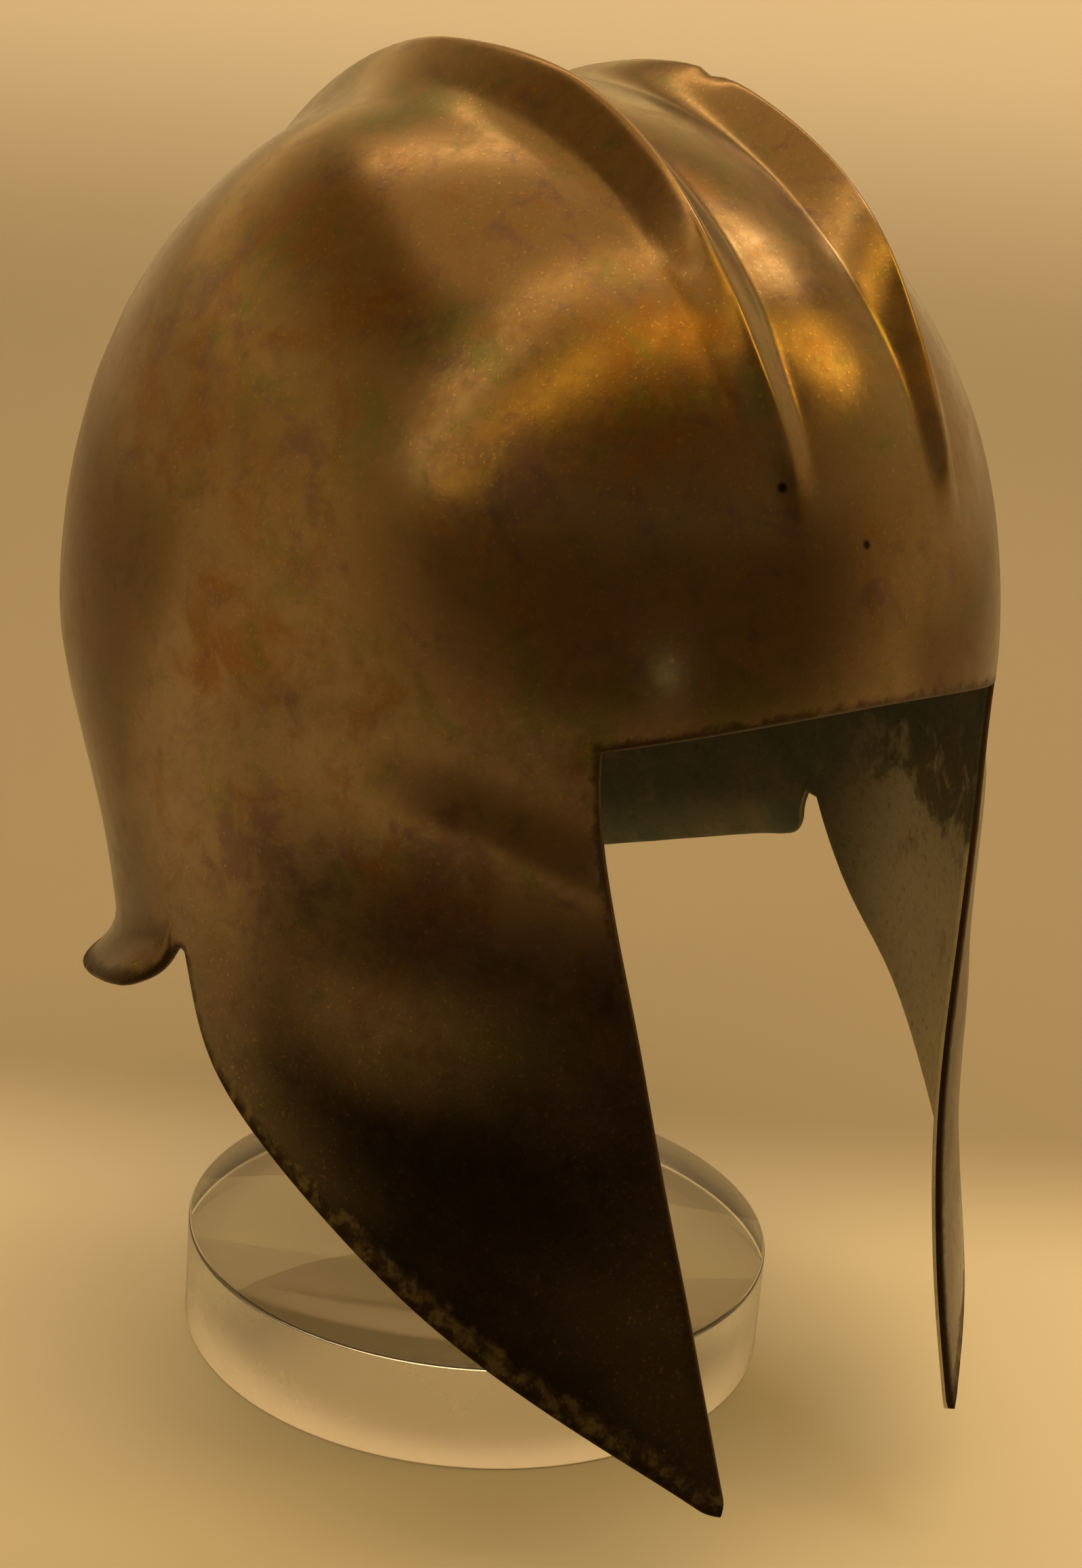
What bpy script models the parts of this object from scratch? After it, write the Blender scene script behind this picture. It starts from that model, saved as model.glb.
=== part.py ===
"""Ancient bronze helmet with an open face and two crest ridges, on a clear disc and post.

Frame: metres, +Z up, the face looks along -Y and +X is the wearer's left.
The origin is the centre of the disc's underside.
"""
import math

import bpy
import numpy as np

MM = 0.001

# Driving dimensions, in millimetres
DISC_DIAMETER = 140.0
DISC_THICKNESS = 25.0
DISC_CHAMFER = 0.8
POST_DIAMETER = 16.0
POST_TOP = 290.1
POST_DOME = 4.0
CONTACT_GAP = 0.3

CROWN_HEIGHT = 292.6
WIDEST_HEIGHT = 175.0
SIDE_ROUNDNESS = 2.3
FRONT_ROUNDNESS = 2.1
BACK_ROUNDNESS = 1.9

WALL_THICKNESS = 1.6
RIM_THICKNESS = 2.4
LIP_THICKNESS = 3.3
RIM_WIDTH = 7.0

BROW_HEIGHT = 184.3
BROW_ARCH = 7.6
BROW_HALF_WIDTH = 56.0
TIP_FRONT = 22.9
TIP_REAR = 21.9
TIP_RADIUS = 2.6
LEAN = 1.2
LEAN_TOP = 130.0
SLIT_WIDTH = 1.4
CORNER_TURN = 1.5

# The two halves, which differ a little because each was cut by hand
HALVES = (
    # side, height of the slit's end, slit wider by, rear edge further forward by
    (-1.0, 117.5, 0.0, 0.0),
    (1.0, 121.8, 2.4, 4.4),
)

LIP_FLARE = 9.2
LIP_LENGTH = 12.5

RIDGE_OFFSET = 23.8
RIDGE_FRONT_OFFSET = 21.4
RIDGE_CREST_RADIUS = 0.8
RIDGE_HOLLOW = 2.2

CREASE_SWELL = 1.5
CREASE_RISE = 15.0
CREASE_FADE = 40.0

# Level sections of the skull and cheeks, from the cheek tips to the widest level
WALL_ROWS = (
    # height, half width, front, back, middle, roundness in plan
    (20.0, 79.4, -127.9, 60.0, -17.0, 2.5),
    (50.0, 91.9, -118.8, 65.0, -17.0, 2.2),
    (75.0, 95.8, -114.3, 69.0, -17.0, 2.0),
    (100.0, 96.1, -109.4, 74.5, -16.0, 2.1),
    (125.0, 95.0, -109.0, 86.0, -8.0, 2.1),
    (150.0, 96.0, -109.0, 98.5, 2.5, 2.1),
    (175.0, 96.5, -109.5, 106.0, 11.0, 2.1),
)

# The cheek piece's front edge, as half the gap between the two cheeks
FACE_ROWS = (
    # height, half gap
    (23.0, 34.3),
    (60.0, 37.1),
    (90.0, 41.4),
    (120.0, 47.2),
    (150.0, 53.4),
    (177.0, 56.0),
)

# The cheek piece's rear edge, seen from the side
REAR_ROWS = (
    # height, y
    (20.9, -121.2),
    (25.2, -117.4),
    (34.0, -108.0),
    (45.0, -93.6),
    (58.0, -75.0),
    (72.0, -56.2),
    (86.0, -38.0),
    (97.0, -24.1),
    (108.0, -15.9),
    (120.0, -10.4),
    (125.0, -9.2),
)

# The neck lip's lower edge, by the plan angle away from straight back
LIP_ROWS = (
    # angle, height
    (0.0, 85.5),
    (20.0, 87.2),
    (40.0, 92.0),
    (55.0, 97.0),
    (65.0, 101.0),
    (74.0, 104.8),
    (79.0, 106.8),
    (82.0, 108.0),
)

# The neck lip's rounded front corner, up to the slit behind the cheek piece
CORNER_ROWS = (
    # y, height
    (-3.4, 109.6),
    (-6.2, 114.0),
)

# The crest ridges, by the angle round the ear-to-ear axis from straight ahead
RIDGE_ROWS = (
    # angle round the ear-to-ear axis, right height, left height, outer width, inner width, softness
    (23.5, 0.0, 0.0, 3.5, 4.0, 0.20),
    (26.0, 0.0, 0.6, 3.5, 4.0, 0.20),
    (28.0, 1.2, 2.2, 3.5, 4.5, 0.20),
    (31.0, 2.3, 2.6, 3.8, 5.0, 0.18),
    (38.0, 3.3, 3.0, 4.2, 6.5, 0.16),
    (45.0, 4.2, 4.5, 4.8, 8.0, 0.16),
    (50.0, 4.9, 6.3, 5.2, 8.5, 0.16),
    (56.0, 6.3, 8.0, 5.8, 8.5, 0.18),
    (62.0, 7.8, 8.9, 6.4, 8.5, 0.22),
    (70.0, 9.2, 9.0, 7.6, 8.5, 0.30),
    (77.0, 10.0, 9.0, 9.0, 8.5, 0.40),
    (85.0, 9.3, 8.6, 10.8, 8.5, 0.50),
    (92.0, 8.7, 6.8, 11.5, 8.5, 0.50),
    (97.0, 8.4, 5.3, 11.5, 8.5, 0.50),
    (104.0, 8.2, 4.4, 11.5, 8.5, 0.50),
    (120.0, 8.6, 5.5, 11.5, 8.5, 0.50),
    (140.0, 8.5, 6.8, 11.0, 8.5, 0.45),
    (160.0, 7.5, 6.8, 9.5, 8.0, 0.40),
    (185.0, 4.0, 4.0, 7.5, 7.0, 0.35),
    (200.0, 0.0, 0.0, 5.0, 5.0, 0.30),
)

# The crease where the skull swells out over the cheek piece, seen from the side
CREASE_ROWS = (
    # y, height
    (-96.0, 146.5),
    (-88.0, 152.0),
    (-80.0, 156.8),
    (-65.0, 161.2),
    (-48.0, 164.3),
    (-20.0, 166.0),
)

# The lines of the sheet, each from the face opening back to the rear edge
CROWN_LINES = (0.0, 6.5, 11.0, 14.0, 17.0, 20.0, 22.4, 23.8, 25.2, 27.2, 30.0, 34.0)
SIDE_LINES = 11
CHEEK_LINES = (
    0.07, 0.14, 0.21, 0.28, 0.35, 0.42, 0.49, 0.57, 0.65, 0.73, 0.81, 0.89, 0.95, 0.982, 0.994, 1.0,
)
LINE_STEPS = 26
REAR_STEPS = (0.0, 2.6, 5.6, 9.2, 14.0)
FRONT_STEPS = (0.0, 4.0)

# How each line leaves its two ends: the turn from straight up, forward for the rear end and
# outward for the front end, and the length of the pull as a share of the line's span
LEAVE_ROWS = (
    # place, front turn, rear turn, pull
    (0.0, 0.0, 0.0, 0.72),
    (0.70, 12.0, 0.0, 0.66),
    (0.82, 20.0, -12.0, 0.62),
    (0.91, 32.0, -14.0, 0.58),
    (1.00, 45.0, 16.0, 0.52),
    (1.08, 70.0, 56.0, 0.42),
    (1.25, 88.0, 62.0, 0.36),
    (1.60, 96.0, 46.0, 0.32),
    (2.00, 100.0, 50.0, 0.30),
)

# The plane inside the head that the lines are spread out from onto the form
HEART_Y = -10.0


def spline(rows, column):
    """A smooth curve through one column of a table, level at the last row."""
    x = np.array([row[0] for row in rows])
    y = np.array([row[column] for row in rows])
    step = np.diff(x)
    rise = np.diff(y) / step
    count = len(x)
    system = np.eye(count)
    change = np.zeros(count)
    for i in range(1, count - 1):
        system[i, i - 1:i + 2] = step[i - 1], 2 * (step[i - 1] + step[i]), step[i]
        change[i] = 6 * (rise[i] - rise[i - 1])
    system[-1, -2:] = step[-1], 2 * step[-1]
    change[-1] = -6 * rise[-1]
    bend = np.linalg.solve(system, change)

    def value(at):
        at = np.clip(at, x[0], x[-1])
        i = np.clip(np.searchsorted(x, at) - 1, 0, count - 2)
        a = (x[i + 1] - at) / step[i]
        b = 1 - a
        curve = (a ** 3 - a) * bend[i] + (b ** 3 - b) * bend[i + 1]
        return a * y[i] + b * y[i + 1] + curve * step[i] ** 2 / 6

    return value


def table(rows, column, at):
    """Straight-line reading of one column of a table."""
    return np.interp(at, [row[0] for row in rows], [row[column] for row in rows])


def smooth(value):
    """Ease from 0 to 1 as the value goes from 0 to 1."""
    value = np.clip(value, 0.0, 1.0)
    return value * value * (3 - 2 * value)


half_width_at = spline(WALL_ROWS, 1)
front_at = spline(WALL_ROWS, 2)
back_at = spline(WALL_ROWS, 3)
middle_at = spline(WALL_ROWS, 4)
round_at = spline(WALL_ROWS, 5)
face_gap_at = spline(FACE_ROWS, 1)
rear_y_at = spline(REAR_ROWS, 1)


def section(z):
    """The level section at a height: half width, front and back reach, and middle."""
    rise = np.clip((z - WIDEST_HEIGHT) / (CROWN_HEIGHT - WIDEST_HEIGHT), 0.0, 1.0)
    middle = middle_at(z)
    close = [(1 - rise ** n) ** (1 / n) for n in (SIDE_ROUNDNESS, FRONT_ROUNDNESS, BACK_ROUNDNESS)]
    side = half_width_at(z) * close[0]
    front = (middle - front_at(z)) * close[1]
    back = (back_at(z) - middle) * close[2]
    return side, front, back, middle


def level(points):
    """A measure that grows outwards and is 1 on the helmet's outer form."""
    x, y, z = np.moveaxis(points, -1, 0)
    side, front, back, middle = section(z)
    reach = np.where(y < middle, front, back)
    power = round_at(z)
    across = np.abs(x / np.maximum(side, 0.01)) ** power
    forward = np.abs((y - middle) / np.maximum(reach, 0.01)) ** power
    return across + forward


def form_normals(points):
    """Outward directions of the form at points on it."""
    steps = 0.2 * np.eye(3)
    slope = [level(points + step) - level(points - step) for step in steps]
    normal = np.stack(slope, axis=-1)
    return normal / np.linalg.norm(normal, axis=-1, keepdims=True)


def cast(start, heading):
    """Where rays from inside the form meet its surface."""
    near = np.zeros(heading.shape[:-1])
    far = np.full(heading.shape[:-1], 320.0)
    for _ in range(34):
        half = (near + far) / 2
        points = start + heading * half[..., None]
        inside = (level(points) < 1) & (points[..., 2] < CROWN_HEIGHT)
        near = np.where(inside, half, near)
        far = np.where(inside, far, half)
    return start + heading * near[..., None]


def wall_x(y, z):
    """The surface's distance from the middle plane at a given y and height."""
    side, front, back, middle = section(z)
    reach = np.where(y < middle, front, back)
    share = np.minimum(np.abs((y - middle) / reach), 1.0)
    return side * (1 - share ** round_at(z)) ** (1 / round_at(z))


def wall_y(x, z):
    """The front surface's y at a given distance from the middle plane."""
    side, front, _, middle = section(z)
    across = np.minimum(np.abs(x / side), 1.0)
    return middle - front * (1 - across ** round_at(z)) ** (1 / round_at(z))


def brow_point(x):
    z = BROW_HEIGHT - BROW_ARCH * (x / BROW_HALF_WIDTH) ** 2
    return np.array([x, float(wall_y(x, z)), z])


def face_edge_point(z):
    x = float(face_gap_at(z))
    return np.array([x, float(wall_y(x, z)), z])


def lip_point(angle):
    """A point of the lip's lower edge before it is flared."""
    z = float(table(LIP_ROWS, 1, angle))
    side, _, back, middle = section(z)
    power = 2 / float(round_at(z))
    x = side * math.sin(math.radians(angle)) ** power
    y = middle + back * math.cos(math.radians(angle)) ** power
    return np.array([float(x), float(y), z])


def along(points, share):
    """The point at a share of a polyline's length."""
    points = np.array(points)
    length = np.concatenate([[0.0], np.cumsum(np.linalg.norm(np.diff(points, axis=0), axis=1))])
    return np.array([np.interp(share * length[-1], length, points[:, axis]) for axis in range(3)])


def side_point(y, z):
    return np.array([float(wall_x(y, z)), y, z])


def sheet_ends(slit_top, wider, rear_forward):
    """Front end, rear end and place of each line on one half."""
    lip_end = LIP_ROWS[-1][0] - CORNER_TURN * wider
    lip = [lip_point(angle) for angle in np.linspace(0, lip_end, 120)]
    lip_x = [point[0] for point in lip]
    lines = []
    for x in CROWN_LINES:
        rear = np.array([np.interp(x, lip_x, [point[axis] for point in lip]) for axis in range(3)])
        lines.append((brow_point(x), rear, 0.0))

    slit_end = (float(rear_y_at(slit_top)) + SLIT_WIDTH, slit_top)
    corner = [side_point(y + wider, z) for y, z in CORNER_ROWS + (slit_end,)]
    outer_lip = [point for point in lip if point[0] > CROWN_LINES[-1]]
    lip_lines = SIDE_LINES - len(corner)
    for i in range(1, SIDE_LINES + 1):
        share = i / SIDE_LINES
        front = brow_point(CROWN_LINES[-1] + (BROW_HALF_WIDTH - CROWN_LINES[-1]) * share ** 0.9)
        rear = along(outer_lip, i / lip_lines) if i <= lip_lines else corner[i - lip_lines - 1]
        lines.append((front, rear, share))

    face_top = BROW_HEIGHT - BROW_ARCH
    for share in CHEEK_LINES:
        front = face_edge_point(face_top + (TIP_FRONT - face_top) * share ** 1.1)
        rear_share = (share - CHEEK_LINES[0]) / (1 - CHEEK_LINES[0])
        z = slit_top - 0.3 + (TIP_REAR - slit_top + 0.3) * rear_share ** 1.1
        forward = rear_forward * math.sin(math.pi * (z - TIP_REAR) / (slit_top - TIP_REAR))
        lines.append((front, side_point(float(rear_y_at(z)) - forward, z), 1 + share))
    return lines


def line_steps(length):
    """Distances along a line from its front end, closer together at both edges."""
    scale = min(1.0, length / 70.0)
    front = np.array(FRONT_STEPS) * scale
    rear = length - np.array(REAR_STEPS)[::-1] * scale
    middle = np.linspace(front[-1], rear[0], LINE_STEPS + 2)[1:-1]
    return np.concatenate([front, middle, rear])


def pull_curve(front, rear, place):
    """A free curve from the front end to the rear end, later cast out onto the form."""
    front_turn = math.radians(table(LEAVE_ROWS, 1, place))
    rear_turn = math.radians(table(LEAVE_ROWS, 2, place))
    pull = table(LEAVE_ROWS, 3, place) * np.linalg.norm(rear - front)
    sideways = form_normals(front)[:2][::-1] * np.array([-1.0, 1.0])
    from_front = np.append(sideways * math.sin(front_turn), math.cos(front_turn))
    from_rear = np.array([0.0, -math.sin(rear_turn), math.cos(rear_turn)])
    t = np.linspace(0, 1, 240)[:, None]
    ends = (1 - t) ** 3 * front + t ** 3 * rear
    leave_front = 3 * t * (1 - t) ** 2 * (front + from_front * pull)
    leave_rear = 3 * t ** 2 * (1 - t) * (rear + from_rear * pull)
    return ends + leave_front + leave_rear


def sheet_line(front, rear, place):
    """The points of one line over the form, and their distances from both ends."""
    curve = pull_curve(front, rear, place)
    start = np.zeros_like(curve)
    start[:, 0] = curve[:, 0] * (1 - smooth(place))
    start[:, 1] = HEART_Y
    start[:, 2] = np.minimum(curve[:, 2], WIDEST_HEIGHT)
    heading = curve - start
    heading = heading / np.linalg.norm(heading, axis=-1, keepdims=True)
    dense = cast(start, heading)
    length = np.concatenate([[0.0], np.cumsum(np.linalg.norm(np.diff(dense, axis=0), axis=1))])
    steps = line_steps(length[-1])
    points = np.stack([np.interp(steps, length, dense[:, axis]) for axis in range(3)], axis=-1)
    return points, steps, length[-1] - steps


def round_tip(points):
    """Draws the last lines together, so that the cheek's tip ends in a round."""
    middle = points.mean(axis=1, keepdims=True)
    height = middle[..., 2] - middle[-1, :, 2]
    short = np.clip(1 - height / TIP_RADIUS, 0.0, 0.96)[..., None]
    return middle + (points - middle) * np.sqrt(1 - short ** 2)


def half_sheet(side, slit_top, wider, rear_forward):
    """One half of the smooth sheet: points, edge distances and the place of each line."""
    lines = sheet_ends(slit_top, wider, rear_forward)
    made = [sheet_line(*line) for line in lines]
    points = round_tip(np.array([line[0] for line in made])) * np.array([side, 1.0, 1.0])
    lean = np.clip((LEAN_TOP - points[..., 2]) / (LEAN_TOP - TIP_REAR), 0.0, 1.0) ** 1.4
    points[..., 0] += LEAN * lean
    from_front = np.array([line[1] for line in made])
    from_rear = np.array([line[2] for line in made])
    place = np.array([line[2] for line in lines])
    return points, from_front, from_rear, place


def joined(right, left):
    """Both halves in one grid, from the right cheek tip to the left one."""
    return np.concatenate([right[::-1], left[1:]])


def grid_normals(grid):
    """Outward directions of a grid of points."""
    across = np.gradient(grid, axis=0)
    down = np.gradient(grid, axis=1)
    normal = np.cross(across, down)
    return normal / np.linalg.norm(normal, axis=-1, keepdims=True)


def sheet_normals(smooth_sheet, flared_sheet, place, tilt):
    """Outward directions of the flared sheet, from the form itself beside the crown."""
    forward = -np.gradient(smooth_sheet, axis=1)
    forward = forward / np.linalg.norm(forward, axis=-1, keepdims=True)
    side = form_normals(smooth_sheet) + forward * tilt[..., None]
    side = side / np.linalg.norm(side, axis=-1, keepdims=True)
    share = smooth((np.abs(place) - 0.4) / 0.3)[:, None, None]
    normal = grid_normals(flared_sheet) * (1 - share) + side * share
    return normal / np.linalg.norm(normal, axis=-1, keepdims=True)


def crease_swell(grid, from_front):
    """How far the wall swells out toward the crease between the skull and the cheek piece."""
    below = table(CREASE_ROWS, 1, grid[..., 1]) - grid[..., 2]
    swell = np.clip(1 + below / CREASE_RISE, 0.0, 1.0) ** 2
    fade_down = 1 - smooth(below / CREASE_FADE)
    fade_back = 1 - smooth((grid[..., 1] + 66) / 34)
    left_edge = np.where(grid[..., 0] > 0, smooth(from_front / 16.0), 1.0)
    return CREASE_SWELL * swell * fade_down * fade_back * left_edge


def lip_flare(grid, from_rear, place):
    """Outward spread of the neck lip close to its edge, and how steeply it grows."""
    near = np.clip(1 - from_rear / LIP_LENGTH, 0, 1)
    ends = 1 - smooth((np.abs(place) - 0.66) / 0.3)[:, None]
    outward = grid * np.array([1.0, 1.0, 0.0]) + np.array([0.0, 17.0, 0.0])
    outward = outward / np.linalg.norm(outward, axis=-1, keepdims=True)
    spread = outward * (LIP_FLARE * near ** 2 * ends)[..., None]
    return spread, 2 * LIP_FLARE / LIP_LENGTH * near * ends


def ridge_lift(grid, hollow):
    """Height of the two ridges over the sheet, outside or in their hollow inside."""
    x, y, z = np.moveaxis(grid, -1, 0)
    angle = np.degrees(np.arctan2(z - WIDEST_HEIGHT, -y)) % 360
    right, left, outer, inner, soft = [table(RIDGE_ROWS, column, angle) for column in range(1, 6)]
    height = np.where(x < 0, right, left)
    end = 1 - smooth((angle - 26) / 16)
    crest = RIDGE_OFFSET + (RIDGE_FRONT_OFFSET - RIDGE_OFFSET) * end
    away = np.abs(x) - crest
    width = np.where(away > 0, outer, inner)
    away = np.sqrt(away ** 2 + RIDGE_CREST_RADIUS ** 2) - RIDGE_CREST_RADIUS
    height = np.maximum(height - hollow, 0.0)
    flank = 1 - away / width
    fillet = np.clip(flank + soft, 0.0, None) ** 2 / (4 * soft)
    on_skull = (z > 130) & (angle < 210)
    return height * np.where(flank > soft, flank, fillet) * on_skull


def wall(from_front, from_rear, place):
    """Thickness of the sheet, greater towards its rim and greatest at the lip."""
    at_lip = (1 - smooth((np.abs(place) - 0.5) / 0.3))[:, None] * (from_rear < from_front)
    rim = RIM_THICKNESS + (LIP_THICKNESS - RIM_THICKNESS) * at_lip
    edge = np.minimum(from_front, from_rear)
    return rim + (WALL_THICKNESS - rim) * smooth(edge / RIM_WIDTH)


def helmet_grids():
    """Outer and inner surface of the helmet, as two grids of matching points."""
    right, left = [half_sheet(*row) for row in HALVES]
    sheet, from_front, from_rear, place = [joined(r, l) for r, l in zip(right, left)]
    spread, tilt = lip_flare(sheet, from_rear, place)
    normal = sheet_normals(sheet, sheet + spread, place, tilt)
    outer = sheet + spread + normal * crease_swell(sheet, from_front)[..., None]
    inner = outer - normal * wall(from_front, from_rear, place)[..., None]
    upward = normal * np.array([0.0, 1.0, 1.0])
    outer = outer + upward * ridge_lift(sheet, 0.0)[..., None]
    inner = inner + upward * ridge_lift(sheet, RIDGE_HOLLOW)[..., None]
    return outer, inner


def shell_faces(lines, steps):
    """Faces of a closed shell between two grids of the same size."""
    def outer(i, j):
        return i * steps + j

    def inner(i, j):
        return lines * steps + i * steps + j

    faces = []
    last = steps - 1
    for i in range(lines - 1):
        for j in range(last):
            faces.append((outer(i, j), outer(i + 1, j), outer(i + 1, j + 1), outer(i, j + 1)))
            faces.append((inner(i, j), inner(i, j + 1), inner(i + 1, j + 1), inner(i + 1, j)))
        faces.append((outer(i, 0), inner(i, 0), inner(i + 1, 0), outer(i + 1, 0)))
        faces.append((outer(i, last), outer(i + 1, last), inner(i + 1, last), inner(i, last)))
    end = lines - 1
    for j in range(last):
        faces.append((outer(0, j), outer(0, j + 1), inner(0, j + 1), inner(0, j)))
        faces.append((outer(end, j), inner(end, j), inner(end, j + 1), outer(end, j + 1)))
    return faces


def material(name, colour, metallic, roughness, alpha=1.0):
    made = bpy.data.materials.new(name)
    made.use_nodes = True
    shader = made.node_tree.nodes["Principled BSDF"]
    shader.inputs["Base Color"].default_value = (*colour, 1.0)
    shader.inputs["Metallic"].default_value = metallic
    shader.inputs["Roughness"].default_value = roughness
    shader.inputs["Alpha"].default_value = alpha
    made.diffuse_color = (*colour, alpha)
    return made


def add_piece(name, points, faces, finish):
    """An object of its own from points in millimetres, shaded smooth."""
    mesh = bpy.data.meshes.new(name)
    mesh.from_pydata([tuple(float(c) * MM for c in point) for point in points], [], faces)
    mesh.materials.append(finish)
    mesh.shade_smooth()
    mesh.set_sharp_from_angle(angle=math.radians(40))
    piece = bpy.data.objects.new(name, mesh)
    bpy.context.scene.collection.objects.link(piece)
    return piece


def build_helmet(finish):
    outer, inner = helmet_grids()
    lines, steps = outer.shape[:2]
    points = np.concatenate([outer.reshape(-1, 3), inner.reshape(-1, 3)])
    return add_piece("helmet", points, shell_faces(lines, steps), finish)


def turned(name, profile, sides, finish):
    """A round piece turned from a profile of radius and height."""
    points = []
    for radius, height in profile:
        for k in range(sides):
            turn = 2 * math.pi * k / sides
            points.append((radius * math.cos(turn), radius * math.sin(turn), height))
    faces = [tuple(range(sides))[::-1]]
    for i in range(len(profile) - 1):
        for k in range(sides):
            after = (k + 1) % sides
            low, high = i * sides, (i + 1) * sides
            faces.append((low + k, low + after, high + after, high + k))
    top = (len(profile) - 1) * sides
    faces.append(tuple(range(top, top + sides)))
    return add_piece(name, points, faces, finish)


def build_disc(finish):
    radius = DISC_DIAMETER / 2
    edge = DISC_CHAMFER
    profile = (
        (radius - edge, 0.0),
        (radius, edge),
        (radius, DISC_THICKNESS - edge),
        (radius - edge, DISC_THICKNESS),
    )
    return turned("stand_base", profile, 72, finish)


def build_post(finish):
    radius = POST_DIAMETER / 2
    profile = [(radius, DISC_THICKNESS + CONTACT_GAP)]
    for turn in np.radians([0.0, 30.0, 60.0, 80.0]):
        rise = POST_DOME * math.sin(turn)
        profile.append((radius * math.cos(turn), POST_TOP - POST_DOME + rise))
    return turned("stand_post", profile, 24, finish)


def main():
    for old in list(bpy.data.objects):
        bpy.data.objects.remove(old, do_unlink=True)
    bronze = material("aged bronze", (0.16, 0.09, 0.035), 0.85, 0.42)
    acrylic = material("clear acrylic", (0.95, 0.94, 0.90), 0.0, 0.04, 0.35)
    build_helmet(bronze)
    build_disc(acrylic)
    build_post(acrylic)


main()
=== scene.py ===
# %% [markdown]
# # An ancient bronze helmet on a clear stand
# This lesson dresses a measured solid model of an old bronze helmet. It has an open face, two raised
# crest ridges, long cheek pieces and a flared neck lip, and stands on a clear disc and post.
# The solid model is loaded first and never changed. Everything made here lies in the same frame:
# metres, +Z up, the face looks along -Y, and the origin is under the middle of the disc.

# %% Load the frame
import math

import bpy
import numpy as np
from mathutils import Matrix, Vector, noise


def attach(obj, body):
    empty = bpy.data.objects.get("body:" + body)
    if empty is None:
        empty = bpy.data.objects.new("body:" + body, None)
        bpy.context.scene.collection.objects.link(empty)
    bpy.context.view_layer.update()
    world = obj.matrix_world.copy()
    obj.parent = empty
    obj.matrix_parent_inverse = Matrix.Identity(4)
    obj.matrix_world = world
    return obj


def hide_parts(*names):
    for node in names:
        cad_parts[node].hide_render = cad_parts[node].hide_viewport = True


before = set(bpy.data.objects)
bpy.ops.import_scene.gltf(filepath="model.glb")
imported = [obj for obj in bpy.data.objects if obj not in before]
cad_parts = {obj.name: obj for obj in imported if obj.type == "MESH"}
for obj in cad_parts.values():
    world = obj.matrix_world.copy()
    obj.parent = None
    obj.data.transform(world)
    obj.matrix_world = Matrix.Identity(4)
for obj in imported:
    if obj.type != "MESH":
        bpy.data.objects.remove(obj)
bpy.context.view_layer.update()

MM = 0.001

# %% [markdown]
# ## The form of the helmet
# The real helmet was hammered up from one sheet of bronze. Its form is smooth, so it is described as a
# stack of level sections: each is a rounded oval with a half width, a front reach and a back reach.
# A few rows hold the sizes, and a smooth curve runs through them. Above the widest level the ovals
# close up to the crown.

# %% Sizes of the form, in millimetres
CROWN_HEIGHT = 292.6
WIDEST_HEIGHT = 175.0
SIDE_ROUNDNESS = 2.3
FRONT_ROUNDNESS = 2.1
BACK_ROUNDNESS = 1.9

WALL_ROWS = (
    # height, half width, front, back, middle, roundness in plan
    (20.0, 79.4, -127.9, 60.0, -17.0, 2.5),
    (50.0, 91.9, -118.8, 65.0, -17.0, 2.2),
    (75.0, 95.8, -114.3, 69.0, -17.0, 2.0),
    (100.0, 96.1, -109.4, 74.5, -16.0, 2.1),
    (125.0, 95.0, -109.0, 86.0, -8.0, 2.1),
    (150.0, 96.0, -109.0, 98.5, 2.5, 2.1),
    (175.0, 96.5, -109.5, 106.0, 11.0, 2.1),
)
print("Level sections:", len(WALL_ROWS))


# %% Curves through the rows
def spline(rows, column):
    """A smooth curve through one column of a table, level at the last row."""
    x = np.array([row[0] for row in rows])
    y = np.array([row[column] for row in rows])
    step = np.diff(x)
    rise = np.diff(y) / step
    count = len(x)
    system = np.eye(count)
    change = np.zeros(count)
    for i in range(1, count - 1):
        system[i, i - 1:i + 2] = step[i - 1], 2 * (step[i - 1] + step[i]), step[i]
        change[i] = 6 * (rise[i] - rise[i - 1])
    system[-1, -2:] = step[-1], 2 * step[-1]
    change[-1] = -6 * rise[-1]
    bend = np.linalg.solve(system, change)

    def value(at):
        at = np.clip(at, x[0], x[-1])
        i = np.clip(np.searchsorted(x, at) - 1, 0, count - 2)
        a = (x[i + 1] - at) / step[i]
        b = 1 - a
        curve = (a ** 3 - a) * bend[i] + (b ** 3 - b) * bend[i + 1]
        return a * y[i] + b * y[i + 1] + curve * step[i] ** 2 / 6

    return value


def table(rows, column, at):
    """Straight-line reading of one column of a table."""
    return np.interp(at, [row[0] for row in rows], [row[column] for row in rows])


def smooth(value):
    """Ease from 0 to 1 as the value goes from 0 to 1."""
    value = np.clip(value, 0.0, 1.0)
    return value * value * (3 - 2 * value)


half_width_at, front_at, back_at, middle_at, round_at = [spline(WALL_ROWS, c) for c in range(1, 6)]
print("Half width at the cheeks and the skull:", float(half_width_at(80.0)), float(half_width_at(175.0)))


# %% The form as one measure, and its surface
PROBE_STEP = 0.2
FARTHEST = 320.0
HALVINGS = 30


def section(z):
    """The level section at a height: half width, front and back reach, and middle."""
    rise = np.clip((z - WIDEST_HEIGHT) / (CROWN_HEIGHT - WIDEST_HEIGHT), 0.0, 1.0)
    middle = middle_at(z)
    close = [(1 - rise ** n) ** (1 / n) for n in (SIDE_ROUNDNESS, FRONT_ROUNDNESS, BACK_ROUNDNESS)]
    front = (middle - front_at(z)) * close[1]
    back = (back_at(z) - middle) * close[2]
    return half_width_at(z) * close[0], front, back, middle


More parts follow.
